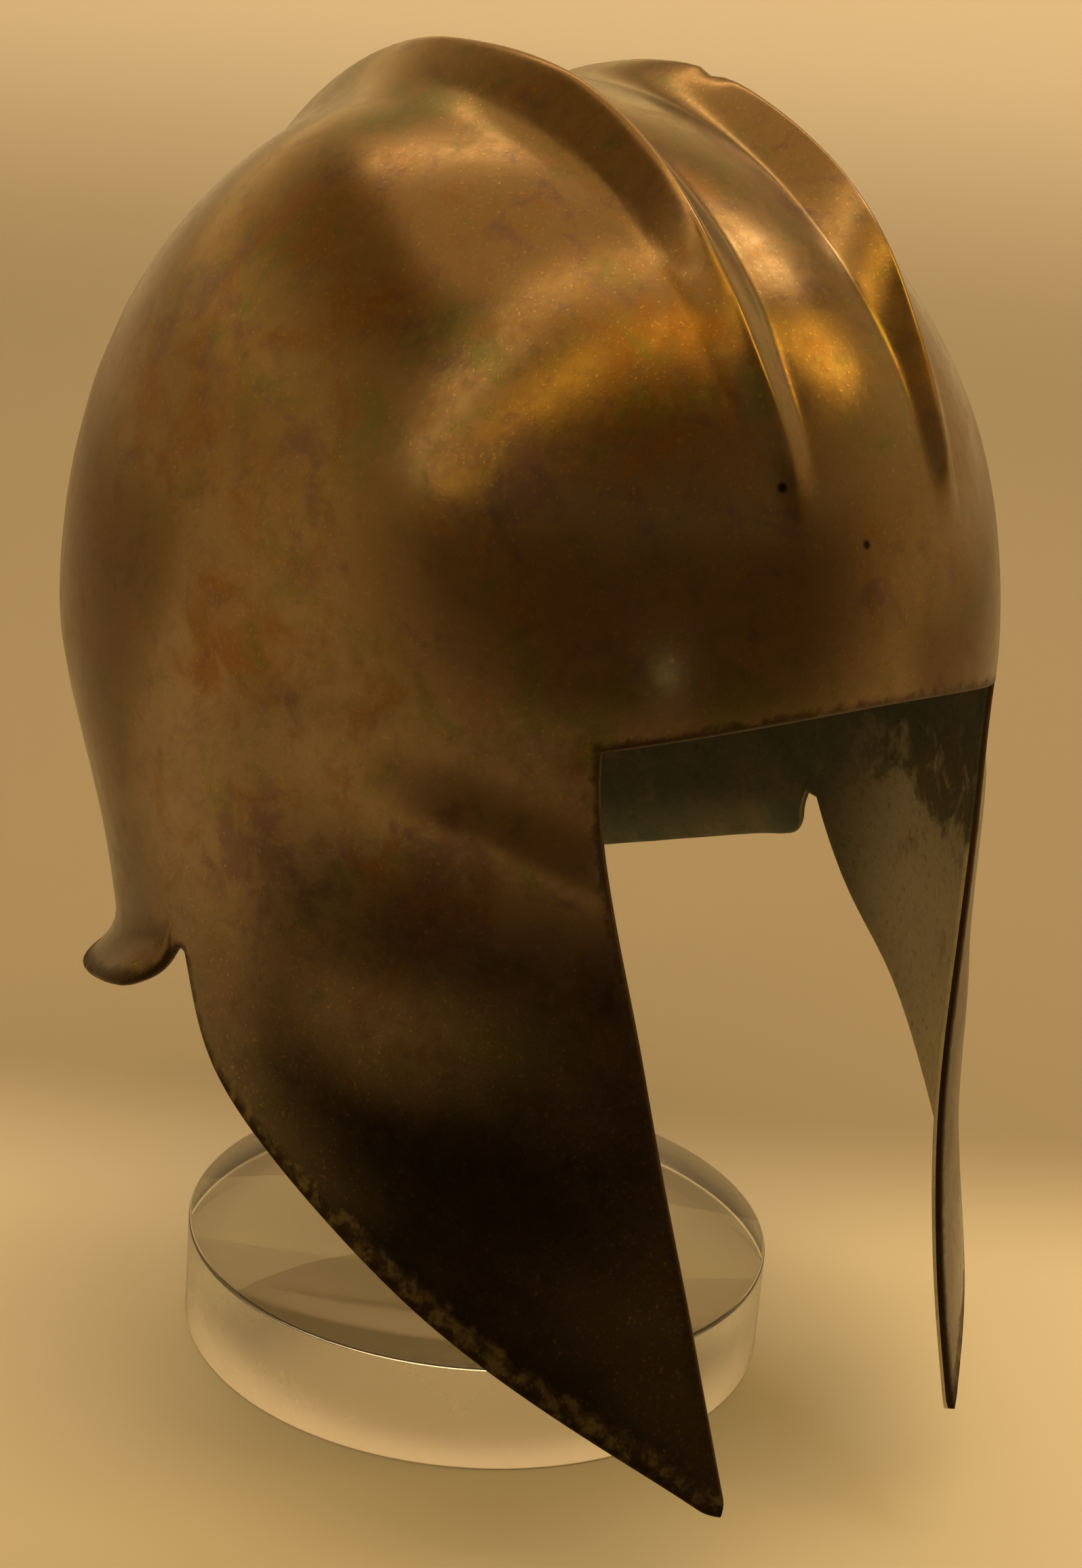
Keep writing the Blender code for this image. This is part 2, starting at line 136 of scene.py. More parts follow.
def level(points):
    """A measure that grows outwards and is 1 on the helmet's outer form."""
    x, y, z = np.moveaxis(points, -1, 0)
    side, front, back, middle = section(z)
    reach = np.where(y < middle, front, back)
    power = round_at(z)
    across = np.abs(x / np.maximum(side, 0.01)) ** power
    lengthwise = np.abs((y - middle) / np.maximum(reach, 0.01)) ** power
    return across + lengthwise


def form_normals(points):
    """Outward directions of the form at points on it."""
    steps = PROBE_STEP * np.eye(3)
    slope = [level(points + step) - level(points - step) for step in steps]
    normal = np.stack(slope, axis=-1)
    return normal / np.linalg.norm(normal, axis=-1, keepdims=True)


def cast(start, heading):
    """Where rays from inside the form meet its surface."""
    near = np.zeros(heading.shape[:-1])
    far = np.full(heading.shape[:-1], FARTHEST)
    for _ in range(HALVINGS):
        half = (near + far) / 2
        points = start + heading * half[..., None]
        inside = (level(points) < 1) & (points[..., 2] < CROWN_HEIGHT)
        near = np.where(inside, half, near)
        far = np.where(inside, far, half)
    return start + heading * near[..., None]


def wall_point(y=None, z=0.0, x=None):
    """A point of the side wall at a given y, or of the front wall at a given x."""
    side, front, back, middle = [float(v) for v in section(z)]
    power = float(round_at(z))
    if x is None:
        reach = front if y < middle else back
        x = side * (1 - min(abs((y - middle) / reach), 1.0) ** power) ** (1 / power)
    else:
        y = middle - front * (1 - min(abs(x / side), 1.0) ** power) ** (1 / power)
    return np.array([x, y, z])


print("Front at the widest level:", wall_point(x=0.0, z=WIDEST_HEIGHT).round(1))


# %% [markdown]
# ## The edges of the sheet
# The sheet ends in front at the brow and at the cheeks' front edges, and behind at the neck lip, a
# short slit and the cheeks' rear edges. Each edge is a curve on the form. The slits stop at slightly
# different heights on the two sides, as they do on the real one, which was cut by hand.

# %% Edge curves
BROW_HEIGHT = 184.3
BROW_ARCH = 7.6
BROW_HALF_WIDTH = 56.0
TIP_FRONT = 22.9
TIP_REAR = 21.9
TIP_RADIUS = 2.6
LEAN = 1.2
LEAN_TOP = 130.0
LEAN_POWER = 1.4
SLIT_WIDTH = 1.4
CORNER_TURN = 1.5

HALVES = (
    # side, height of the slit's end, slit wider by, rear edge further forward by
    (-1.0, 117.5, 0.0, 0.0),
    (1.0, 121.8, 2.4, 4.4),
)

FACE_ROWS = (
    # height, half the gap between the cheeks
    (23.0, 34.3), (60.0, 37.1), (90.0, 41.4), (120.0, 47.2), (150.0, 53.4), (177.0, 56.0),
)
REAR_ROWS = (
    # height, y of the cheek's rear edge
    (20.9, -121.2), (25.2, -117.4), (34.0, -108.0), (45.0, -93.6), (58.0, -75.0), (72.0, -56.2),
    (86.0, -38.0), (97.0, -24.1), (108.0, -15.9), (120.0, -10.4), (125.0, -9.2),
)
LIP_ROWS = (
    # plan angle from straight back, height of the lip's edge
    (0.0, 85.5), (20.0, 87.2), (40.0, 92.0), (55.0, 97.0), (65.0, 101.0), (74.0, 104.8), (79.0, 106.8),
    (82.0, 108.0),
)
CORNER_ROWS = (
    # y, height of the lip's rounded front corner
    (-2.0, 108.6), (-6.0, 111.6), (-7.0, 116.5),
)
face_gap_at = spline(FACE_ROWS, 1)
rear_y_at = spline(REAR_ROWS, 1)


def brow_point(x):
    """The brow edge at a distance from the middle."""
    return wall_point(x=x, z=BROW_HEIGHT - BROW_ARCH * (x / BROW_HALF_WIDTH) ** 2)


def lip_point(angle):
    """A point of the lip's lower edge before it is flared."""
    z = float(table(LIP_ROWS, 1, angle))
    side, _, back, middle = section(z)
    power = 2 / float(round_at(z))
    x = side * math.sin(math.radians(angle)) ** power
    y = middle + back * math.cos(math.radians(angle)) ** power
    return np.array([float(x), float(y), z])


def rounded(points, times=3):
    """A polyline with its inner corners cut smaller and smaller."""
    points = np.array(points)
    for _ in range(times):
        quarter = points[:-1] * 0.75 + points[1:] * 0.25
        three = points[:-1] * 0.25 + points[1:] * 0.75
        middle = np.stack([quarter, three], axis=1).reshape(-1, 3)
        points = np.concatenate([points[:1], middle, points[-1:]])
    return points


def along(points, share):
    """The point at a share of a polyline's length."""
    length = np.concatenate([[0.0], np.cumsum(np.linalg.norm(np.diff(points, axis=0), axis=1))])
    return np.array([np.interp(share * length[-1], length, points[:, axis]) for axis in range(3)])


print("Brow middle and corner:", brow_point(0.0).round(1), brow_point(BROW_HALF_WIDTH).round(1))

# %% [markdown]
# ## Lines over the sheet
# A sheet like this can be one grid of quads. Each grid line starts at the face opening, runs over or
# round the head, and ends at the rear edge. A place number tells the lines apart: 0 for those over the
# crown, up to 1 at the brow's corner, and up to 2 at the cheek's tip. Each line is first drawn as a
# free curve with a pull at both ends, and is then cast out from inside the head onto the form.
# This was chosen over sculpting because every edge and ridge stays exactly where it was measured.

# %% How close the lines and their points lie
RIDGE_ZONE = (19.4, 26.6)
CROWN_EDGE = 34.0
LIP_SHARE = 0.72
CROWN_LINES = np.concatenate([
    np.linspace(0.0, 10.0, 6),
    np.linspace(11.5, 18.6, 7),
    np.linspace(*RIDGE_ZONE, 17),
    np.linspace(27.5, CROWN_EDGE, 6),
])
SIDE_PLACES = np.concatenate([np.linspace(0.0, LIP_SHARE, 29)[1:], np.linspace(LIP_SHARE, 1.0, 17)[1:]])
CHEEK_PLACES = 1 + np.concatenate([
    [0.004], np.linspace(0.012, 0.16, 14), np.linspace(0.16, 0.975, 46)[1:],
    1 - np.array([0.018, 0.0125, 0.0085, 0.0055, 0.0032, 0.0016, 0.0006, 0.0]),
])
EDGE_STEPS = np.array([0.0, 0.12, 0.35, 0.7, 1.15, 1.9, 3.1, 4.8, 7.0])
INNER_STEPS = 112
FULL_EDGE_LENGTH = 30.0
CURVE_POINTS = 400
LIP_POINTS = 160
HEART_Y = -10.0
BROW_EASE = 0.9
FACE_EASE = 1.1
REAR_EASE = 1.18
BELOW_SLIT = 0.3

LEAVE_ROWS = (
    # place, turn at the front end, turn at the rear end, pull as a share of the span
    (0.0, 0.0, 0.0, 0.72),
    (0.70, 12.0, 0.0, 0.66),
    (0.82, 20.0, -3.0, 0.62),
    (0.91, 32.0, -2.0, 0.58),
    (1.00, 45.0, 14.0, 0.52),
    (1.08, 70.0, 56.0, 0.42),
    (1.25, 88.0, 62.0, 0.36),
    (1.60, 96.0, 46.0, 0.32),
    (2.00, 100.0, 50.0, 0.30),
)
print("Points on each line:", 2 * len(EDGE_STEPS) + INNER_STEPS)


# %% Line ends
def sheet_ends(slit_top, wider, rear_forward):
    """Front end, rear end and place of each line on one half."""
    lip_end = LIP_ROWS[-1][0] - CORNER_TURN * wider
    lip = np.array([lip_point(angle) for angle in np.linspace(0, lip_end, LIP_POINTS)])
    lines = []
    for x in CROWN_LINES:
        rear = np.array([np.interp(x, lip[:, 0], lip[:, axis]) for axis in range(3)])
        lines.append((brow_point(x), rear, 0.0))

    slit_end = (float(rear_y_at(slit_top)) + SLIT_WIDTH, slit_top)
    corner = [wall_point(y=y + wider, z=z) for y, z in CORNER_ROWS + (slit_end,)]
    corner = rounded([lip[-1]] + corner)
    outer_lip = lip[lip[:, 0] > CROWN_EDGE]
    for place in SIDE_PLACES:
        front = brow_point(CROWN_EDGE + (BROW_HALF_WIDTH - CROWN_EDGE) * place ** BROW_EASE)
        if place <= LIP_SHARE:
            rear = along(outer_lip, place / LIP_SHARE)
        else:
            rear = along(corner, (place - LIP_SHARE) / (1 - LIP_SHARE))
        lines.append((front, rear, place))

    face_top = BROW_HEIGHT - BROW_ARCH
    rear_top = slit_top - BELOW_SLIT
    for place in CHEEK_PLACES:
        z = face_top + (TIP_FRONT - face_top) * (place - 1) ** FACE_EASE
        front = wall_point(x=float(face_gap_at(z)), z=z)
        z = rear_top + (TIP_REAR - rear_top) * (place - 1) ** REAR_EASE
        forward = rear_forward * math.sin(math.pi * (z - TIP_REAR) / (slit_top - TIP_REAR))
        rear = wall_point(y=float(rear_y_at(z)) - forward, z=z)
        lines.append((front, rear, place))
    return lines


print("Lines on one half:", len(sheet_ends(*HALVES[0][1:])))


# %% One line over the form
def pull_curve(front, rear, place):
    """A free curve from the front end to the rear end, later cast out onto the form."""
    front_turn = math.radians(table(LEAVE_ROWS, 1, place))
    rear_turn = math.radians(table(LEAVE_ROWS, 2, place))
    pull = table(LEAVE_ROWS, 3, place) * np.linalg.norm(rear - front)
    sideways = form_normals(front)[:2][::-1] * np.array([-1.0, 1.0])
    from_front = np.append(sideways * math.sin(front_turn), math.cos(front_turn))
    from_rear = np.array([0.0, -math.sin(rear_turn), math.cos(rear_turn)])
    t = np.linspace(0, 1, CURVE_POINTS)[:, None]
    ends = (1 - t) ** 3 * front + t ** 3 * rear
    leave_front = 3 * t * (1 - t) ** 2 * (front + from_front * pull)
    leave_rear = 3 * t ** 2 * (1 - t) * (rear + from_rear * pull)
    return ends + leave_front + leave_rear


def line_steps(length):
    """Distances along a line from its front end, closest together at both edges."""
    edge = EDGE_STEPS * min(1.0, length / FULL_EDGE_LENGTH)
    inner = np.linspace(edge[-1], length - edge[-1], INNER_STEPS + 2)[1:-1]
    return np.concatenate([edge, inner, length - edge[::-1]])


def sheet_line(front, rear, place):
    """The points of one line over the form, and their distances from both ends."""
    curve = pull_curve(front, rear, place)
    start = np.zeros_like(curve)
    start[:, 0] = curve[:, 0] * (1 - smooth(place))
    start[:, 1] = HEART_Y
    start[:, 2] = np.minimum(curve[:, 2], WIDEST_HEIGHT)
    heading = curve - start
    heading = heading / np.linalg.norm(heading, axis=-1, keepdims=True)
    dense = cast(start, heading)
    length = np.concatenate([[0.0], np.cumsum(np.linalg.norm(np.diff(dense, axis=0), axis=1))])
    steps = line_steps(length[-1])
    points = np.stack([np.interp(steps, length, dense[:, axis]) for axis in range(3)], axis=-1)
    return points, steps, length[-1] - steps


print("Middle line:", round(sheet_line(brow_point(0.0), lip_point(0.0), 0.0)[1][-1], 1), "mm")


# %% Half a sheet, and the whole
def round_tip(points):
    """Draws the last lines together, so that the cheek's tip ends in a round."""
    middle = points.mean(axis=1, keepdims=True)
    height = middle[..., 2] - middle[-1, :, 2]
    short = np.clip(1 - height / TIP_RADIUS, 0.0, 0.99)[..., None]
    return middle + (points - middle) * np.sqrt(1 - short ** 2)


def half_sheet(side, slit_top, wider, rear_forward):
    """One half of the smooth sheet: points, edge distances and the place of each line."""
    lines = sheet_ends(slit_top, wider, rear_forward)
    made = [sheet_line(*line) for line in lines]
    points = round_tip(np.array([line[0] for line in made])) * np.array([side, 1.0, 1.0])
    from_front = np.array([line[1] for line in made])
    from_rear = np.array([line[2] for line in made])
    return points, from_front, from_rear, np.array([line[2] for line in lines])


right_half, left_half = [half_sheet(*row) for row in HALVES]
sheet, from_front, from_rear, place = [
    np.concatenate([right[::-1], left[1:]]) for right, left in zip(right_half, left_half)
]
lean = np.clip((LEAN_TOP - sheet[..., 2]) / (LEAN_TOP - TIP_REAR), 0.0, 1.0) ** LEAN_POWER
sheet[..., 0] += LEAN * lean
print("Grid of the sheet:", sheet.shape[:2])

# %% [markdown]
# ## Relief of the outer face
# Three things stand out of the smooth form: the crest ridges, which were raised over a grooved stake,
# the crease where the skull swells out over each cheek, and the flared neck lip. Each is a height
# worked out from where a point lies, so it can be moved along the surface's outward direction.

# %% Crest ridges
RIDGE_OFFSET = 23.8
RIDGE_FRONT_OFFSET = 21.4
RIDGE_CREST_RADIUS = 0.8
RIDGE_HOLLOW = 2.2
RIDGE_TURN_IN = (26.0, 16.0)
RIDGE_LOWEST = 130.0
RIDGE_BACK_END = 210.0

RIDGE_ROWS = (
    # angle round the ear-to-ear axis, right height, left height, outer width, inner width, softness
    (23.5, 0.0, 0.0, 3.5, 4.0, 0.20),
    (26.0, 0.0, 0.6, 3.5, 4.0, 0.20),
    (28.0, 1.2, 2.2, 3.5, 4.5, 0.20),
    (31.0, 2.3, 2.6, 3.8, 5.0, 0.18),
    (38.0, 3.3, 3.0, 4.2, 6.5, 0.16),
    (45.0, 4.2, 4.5, 4.8, 8.0, 0.16),
    (50.0, 4.9, 6.3, 5.2, 8.5, 0.16),
    (56.0, 6.3, 8.0, 5.8, 8.5, 0.18),
    (62.0, 7.8, 8.9, 6.4, 8.5, 0.22),
    (70.0, 9.2, 9.0, 7.6, 8.5, 0.30),
    (77.0, 9.7, 9.0, 9.0, 8.5, 0.40),
    (85.0, 9.0, 8.6, 10.8, 8.5, 0.50),
    (92.0, 8.4, 6.8, 11.5, 8.5, 0.50),
    (97.0, 8.4, 5.3, 11.5, 8.5, 0.50),
    (104.0, 8.2, 4.4, 11.5, 8.5, 0.50),
    (120.0, 8.6, 5.5, 11.5, 8.5, 0.50),
    (140.0, 8.5, 6.8, 11.0, 8.5, 0.45),
    (160.0, 7.5, 6.8, 9.5, 8.0, 0.40),
    (185.0, 4.0, 4.0, 7.5, 7.0, 0.35),
    (200.0, 0.0, 0.0, 5.0, 5.0, 0.30),
)
SOFTENING_TURNS = (-1.5, -0.75, 0.0, 0.75, 1.5)


def eased_table(rows, column, at):
    """A table read with its corners softened over about three degrees."""
    return np.mean([table(rows, column, at + turn) for turn in SOFTENING_TURNS], axis=0)


def ridge_angle(grid):
    """Angle round the ear-to-ear axis, from straight ahead up over the crown."""
    return np.degrees(np.arctan2(grid[..., 2] - WIDEST_HEIGHT, -grid[..., 1])) % 360


def from_crest(grid):
    """Distance sideways from the nearer ridge's crest, outward positive."""
    turn_from, turn_over = RIDGE_TURN_IN
    end = 1 - smooth((ridge_angle(grid) - turn_from) / turn_over)
    return np.abs(grid[..., 0]) - RIDGE_OFFSET - (RIDGE_FRONT_OFFSET - RIDGE_OFFSET) * end


def ridge_lift(grid, hollow):
    """Height of the two ridges over the sheet, outside or in their hollow inside."""
    angle = ridge_angle(grid)
    right, left, outer, inner, soft = [eased_table(RIDGE_ROWS, column, angle) for column in range(1, 6)]
    height = np.maximum(np.where(grid[..., 0] < 0, right, left) - hollow, 0.0)
    away = from_crest(grid)
    width = np.where(away > 0, outer, inner)
    away = np.sqrt(away ** 2 + RIDGE_CREST_RADIUS ** 2) - RIDGE_CREST_RADIUS
    flank = 1 - away / width
    fillet = np.clip(flank + soft, 0.0, None) ** 2 / (4 * soft)
    on_skull = (grid[..., 2] > RIDGE_LOWEST) & (angle < RIDGE_BACK_END)
    return height * np.where(flank > soft, flank, fillet) * on_skull


print("Ridges stand up to", round(float(ridge_lift(sheet, 0.0).max()), 1), "mm")

# %% Crease over the cheeks
CREASE_SWELL = 1.5
CREASE_RISE = 15.0
CREASE_CORNER = 1.6
CREASE_FADE = 40.0
CREASE_BACK = (-66.0, 34.0)
CREASE_LEFT_EASE = 16.0
CREASE_ROWS = (
    # y, height
    (-96.0, 146.5), (-88.0, 152.0), (-80.0, 156.8), (-65.0, 161.2), (-48.0, 164.3), (-20.0, 166.0),
)
crease_at = spline(CREASE_ROWS, 1)


def crease_swell(grid):
    """How far the wall swells out toward the crease between the skull and the cheek piece."""
    below = crease_at(grid[..., 1]) - grid[..., 2]
    rise = np.clip(1 + below / CREASE_RISE, 0.0, None)
    corner = 0.5 * (1 + rise - np.sqrt((1 - rise) ** 2 + (CREASE_CORNER / CREASE_RISE) ** 2))
    swell = np.clip(corner, 0.0, 1.0) ** 2
    fade_down = 1 - smooth(below / CREASE_FADE)
    back_from, back_over = CREASE_BACK
    fade_back = 1 - smooth((grid[..., 1] - back_from) / back_over)
    left_edge = np.where(grid[..., 0] > 0, smooth(from_front / CREASE_LEFT_EASE), 1.0)
    return CREASE_SWELL * swell * fade_down * fade_back * left_edge


print("Crease swells up to", round(float(crease_swell(sheet).max()), 1), "mm")

# %% Neck lip
LIP_FLARE = 9.2
LIP_LENGTH = 12.5
LIP_HEART = (0.0, -17.0, 0.0)
LIP_FADE_PLACE = 0.66
PLACE_FADE = 0.3


def lip_flare(grid):
    """Outward spread of the neck lip close to its edge, and how steeply it grows."""
    near = np.clip(1 - from_rear / LIP_LENGTH, 0, 1)
    ends = 1 - smooth((np.abs(place) - LIP_FADE_PLACE) / PLACE_FADE)[:, None]
    outward = grid * np.array([1.0, 1.0, 0.0]) - np.array(LIP_HEART)
    outward = outward / np.linalg.norm(outward, axis=-1, keepdims=True)
    spread = outward * (LIP_FLARE * near ** 2 * ends)[..., None]
    return spread, 2 * LIP_FLARE / LIP_LENGTH * near * ends


print("Lip flares by up to", round(float(np.linalg.norm(lip_flare(sheet)[0], axis=-1).max()), 1), "mm")

# %% [markdown]
# ## Age and hand work
# Nothing hammered by hand is perfectly even. A slow swell of a few tenths of a millimetre bends the
# reflections, and the left ridge has lost a small flake from its crest. Both are in the mesh, because
# they change the outline and the highlights. Finer marks are left to the material.

# %% Hammer swell and the flake
SWELL_SIZE = 30.0
SWELL_HEIGHT = 0.30
DENT_SIZE = 11.0
DENT_HEIGHT = 0.07
FLAKE_ANGLE = 83.0
FLAKE_LENGTH = 4.2
FLAKE_DEPTH = 1.1
FLAKE_STEP = 0.8
FLAKE_FLAT = 1.2
FLAKE_WIDTH = 2.2
CALM_EDGE = 10.0
CALM_SHARE = 0.35


def noise_over(grid, size):
    """Smooth unevenness between -1 and 1 with bumps of about the given size."""
    flat = grid.reshape(-1, 3) / size
    return np.array([noise.noise(Vector(point)) for point in flat]).reshape(grid.shape[:-1])


def hand_work(grid):
    """Unevenness of the hammered sheet, calmer close to its trued edges."""
    away = smooth(np.minimum(from_front, from_rear) / CALM_EDGE)
    swell = noise_over(grid, SWELL_SIZE) * SWELL_HEIGHT + noise_over(grid, DENT_SIZE) * DENT_HEIGHT
    return swell * (CALM_SHARE + (1 - CALM_SHARE) * away)


def flake(grid):
    """The lost flake on the left crest: steep at its rear end and easing out forwards."""
    past = FLAKE_ANGLE - ridge_angle(grid)
    run = smooth(past / FLAKE_STEP) * (1 - smooth((past - FLAKE_FLAT) / (FLAKE_LENGTH - FLAKE_FLAT)))
    return FLAKE_DEPTH * run * np.exp(-(from_crest(grid) / FLAKE_WIDTH) ** 2) * (grid[..., 0] > 0)


print("Flake up to", round(float(flake(sheet).max()), 1), "mm deep")

# %% [markdown]
# ## Outer and inner face
# The sheet is about 1.6 mm thick and was left thicker at its rim. Both faces are grids of the same
# size, and the rim is rounded over by drawing the two together in the last millimetre.

# %% Thickness and both faces
WALL_THICKNESS = 1.6
RIM_THICKNESS = 2.4
LIP_THICKNESS = 3.3
RIM_WIDTH = 7.0
RIM_ROUND = 0.96
THICK_LIP_PLACE = 0.5
CROWN_PLACE = 0.4


def grid_normals(grid):
    """Outward directions of a grid of points."""
    normal = np.cross(np.gradient(grid, axis=0), np.gradient(grid, axis=1))
    return normal / np.linalg.norm(normal, axis=-1, keepdims=True)


def sheet_normals(smooth_sheet, flared_sheet, tilt):
    """Outward directions of the flared sheet, from the form itself beside the crown."""
    forward = -np.gradient(smooth_sheet, axis=1)
    forward = forward / np.linalg.norm(forward, axis=-1, keepdims=True)
    side = form_normals(smooth_sheet) + forward * tilt[..., None]
    side = side / np.linalg.norm(side, axis=-1, keepdims=True)
    share = smooth((np.abs(place) - CROWN_PLACE) / PLACE_FADE)[:, None, None]
    normal = grid_normals(flared_sheet) * (1 - share) + side * share
    return normal / np.linalg.norm(normal, axis=-1, keepdims=True)


edge_distance = np.minimum(from_front, from_rear)
at_lip = (1 - smooth((np.abs(place) - THICK_LIP_PLACE) / PLACE_FADE))[:, None] * (from_rear < from_front)
rim_thickness = RIM_THICKNESS + (LIP_THICKNESS - RIM_THICKNESS) * at_lip
thickness = rim_thickness + (WALL_THICKNESS - rim_thickness) * smooth(edge_distance / RIM_WIDTH)
rim_radius = RIM_THICKNESS / 2
into_rim = np.clip(rim_radius - edge_distance, 0.0, rim_radius)
round_over = RIM_ROUND * (rim_radius - np.sqrt(rim_radius ** 2 - into_rim ** 2))

spread, tilt = lip_flare(sheet)
normal = sheet_normals(sheet, sheet + spread, tilt)
upward = normal * np.array([0.0, 1.0, 1.0])
body = sheet + spread + normal * (hand_work(sheet) + crease_swell(sheet))[..., None]
outer = body - normal * round_over[..., None]
inner = body - normal * (thickness - round_over)[..., None]
outer = outer + upward * (ridge_lift(sheet, 0.0) - flake(sheet))[..., None]
inner = inner + upward * ridge_lift(sheet, RIDGE_HOLLOW)[..., None]
print("Helmet height:", round(float(outer[..., 2].max() - outer[..., 2].min()), 1), "mm")
print("Helmet width:", round(float(np.ptp(outer[..., 0])), 1), "mm")

# %% [markdown]
# ## The helmet as one mesh
# A hammered sheet has an outer face, an inner face and a rim. The two grids become quads, and a strip
# of quads closes the rim between them, so the mesh is one closed shell and its rim has real thickness.
# A Solidify modifier could do this too, but not with a wall whose thickness changes.

# %% Build the helmet mesh
lines, steps = outer.shape[:2]


def shell_faces():
    """Faces of a closed shell between the two grids, and the finish number of each."""
    def out(i, j):
        return i * steps + j

    def back(i, j):
        return (lines + i) * steps + j

    faces = []
    finish = []
    last, end = steps - 1, lines - 1
    for i in range(end):
        for j in range(last):
            faces.append((out(i, j), out(i + 1, j), out(i + 1, j + 1), out(i, j + 1)))
            faces.append((back(i, j), back(i, j + 1), back(i + 1, j + 1), back(i + 1, j)))
            finish += [0, 1]
        faces.append((out(i, 0), back(i, 0), back(i + 1, 0), out(i + 1, 0)))
        faces.append((out(i, last), out(i + 1, last), back(i + 1, last), back(i, last)))
        finish += [0, 0]
    for j in range(last):
        faces.append((out(0, j), out(0, j + 1), back(0, j + 1), back(0, j)))
        faces.append((out(end, j), back(end, j), back(end, j + 1), out(end, j + 1)))
        finish += [0, 0]
    return faces, finish


def add_mesh(name, points, faces):
    """A smooth-shaded object from points in millimetres."""
    mesh = bpy.data.meshes.new(name)
    mesh.from_pydata((np.asarray(points) * MM).tolist(), [], faces)
    mesh.shade_smooth()
    piece = bpy.data.objects.new(name, mesh)
    bpy.context.scene.collection.objects.link(piece)
    return piece


def add_marks(piece, name, values):
    """One number for each point of the mesh, read in a material by its name."""
    mark = piece.data.attributes.new(name, "FLOAT", "POINT")
    mark.data.foreach_set("value", np.asarray(values, dtype=np.float32).ravel())


faces, finish = shell_faces()
helmet = add_mesh("bronze_helmet", np.concatenate([outer.reshape(-1, 3), inner.reshape(-1, 3)]), faces)
print("Helmet faces:", len(faces))

# %% [markdown]
# ## Marks for the materials
# Some finishes follow the shape: the crests are worn bright, the rim carries painted shade, and the neck
# lip and the cheeks' rear edges are crusted. These are stored on the mesh as named numbers, one for each
# point, so a material can read them anywhere. The patina's larger patches get their places from a short
# table.

# %% Marks on the helmet
CREST_WEAR = 1.6
WORN_RIDGE = 2.0
CRUST_WIDTH = 6.0
CRUST_TOP = 125.0
CRUST_FADE = 50.0

PATCH_ROWS = (
    # kind, x, y and height of its middle, radius
    ("orange", -68, -2, 264, 17), ("orange", -72, -34, 248, 10), ("orange", -10, -53, 276, 7),
    ("orange", -34, -75, 251, 9), ("orange", -45, -81, 236, 9), ("orange", -91, 7, 223, 13),
    ("orange", -94, -19, 181, 13), ("orange", -78, -65, 142, 12), ("orange", 50, 60, 225, 16),
    ("orange", 80, -20, 190, 14), ("olive", -43, 1, 284, 10), ("olive", -66, -49, 247, 9),
    ("olive", -34, -102, 186, 12), ("olive", -83, -65, 79, 13), ("olive", -25, -90, 239, 8),
    ("olive", -63, -83, 184, 11), ("olive", -67, -83, 117, 14), ("olive", 70, 40, 240, 16),
    ("violet", -80, 10, 246, 12), ("violet", -73, -70, 150, 12), ("violet", -92, -32, 146, 13),
    ("violet", -62, -71, 226, 11), ("violet", -52, -96, 97, 14), ("violet", 85, -50, 150, 14),
)


def patch_mark(kind):
    """How strongly the larger patches of one kind show at each point of the sheet."""
    mark = np.zeros(sheet.shape[:2])
    for row_kind, x, y, z, radius in PATCH_ROWS:
        if row_kind == kind:
            away = np.linalg.norm(sheet - np.array([x, y, z]), axis=-1)
            mark += np.exp(-(away / radius) ** 2)
    return np.minimum(mark, 1.0)


crest = np.exp(-(from_crest(sheet) / CREST_WEAR) ** 2) * smooth(ridge_lift(sheet, 0.0) / WORN_RIDGE)
crusted = np.exp(-(from_rear / CRUST_WIDTH) ** 2) * smooth((CRUST_TOP - sheet[..., 2]) / CRUST_FADE)
for mark, values in (
    ("rim", edge_distance), ("crest", crest), ("crusted", crusted),
    ("orange", patch_mark("orange")), ("olive", patch_mark("olive")), ("violet", patch_mark("violet")),
):
    add_marks(helmet, mark, np.stack([values, values]))
print("Marks:", [mark.name for mark in helmet.data.attributes if mark.data_type == "FLOAT"])

# %% [markdown]
# ## The stand
# The disc was cut from clear acrylic sheet and turned round, with a fine bevel on its edges. Its faces
# stay clear, and its turned side is satin. The post is a clear rod with a domed end, under the crown.
# A profile makes each: a short list of radius and height, spun round the middle line.

# %% Disc and post
DISC_RADIUS = 70.0
DISC_THICKNESS = 25.0
DISC_BEVEL = 0.8
POST_RADIUS = 8.0
POST_FOOT = 25.3
POST_TOP = 290.1
POST_DOME = 4.0
DISC_SIDES = 192
POST_SIDES = 64


def turned(name, profile, sides):
    """A closed round piece from a profile of radius and height, from its foot to its top."""
    turn = np.linspace(0, 2 * math.pi, sides, endpoint=False)
    rings = [np.stack([r * np.cos(turn), r * np.sin(turn), np.full(sides, h)], -1) for r, h in profile]
    faces = [tuple(range(sides))[::-1]]
    for i in range(len(profile) - 1):
        low, high = i * sides, (i + 1) * sides
        faces += [(low + k, low + (k + 1) % sides, high + (k + 1) % sides, high + k) for k in range(sides)]
    top = (len(profile) - 1) * sides
    faces.append(tuple(range(top, top + sides)))
    return add_mesh(name, np.concatenate(rings), faces)


def bevelled(radius, low, high, bevel, parts=4):
    """Profile of a cylinder with rounded edges."""
    turns = np.radians(np.linspace(0, 90, parts + 1))
    foot = [(radius - bevel + bevel * math.sin(t), low + bevel - bevel * math.cos(t)) for t in turns]
    return foot + [(r, low + high - h) for r, h in reversed(foot)]


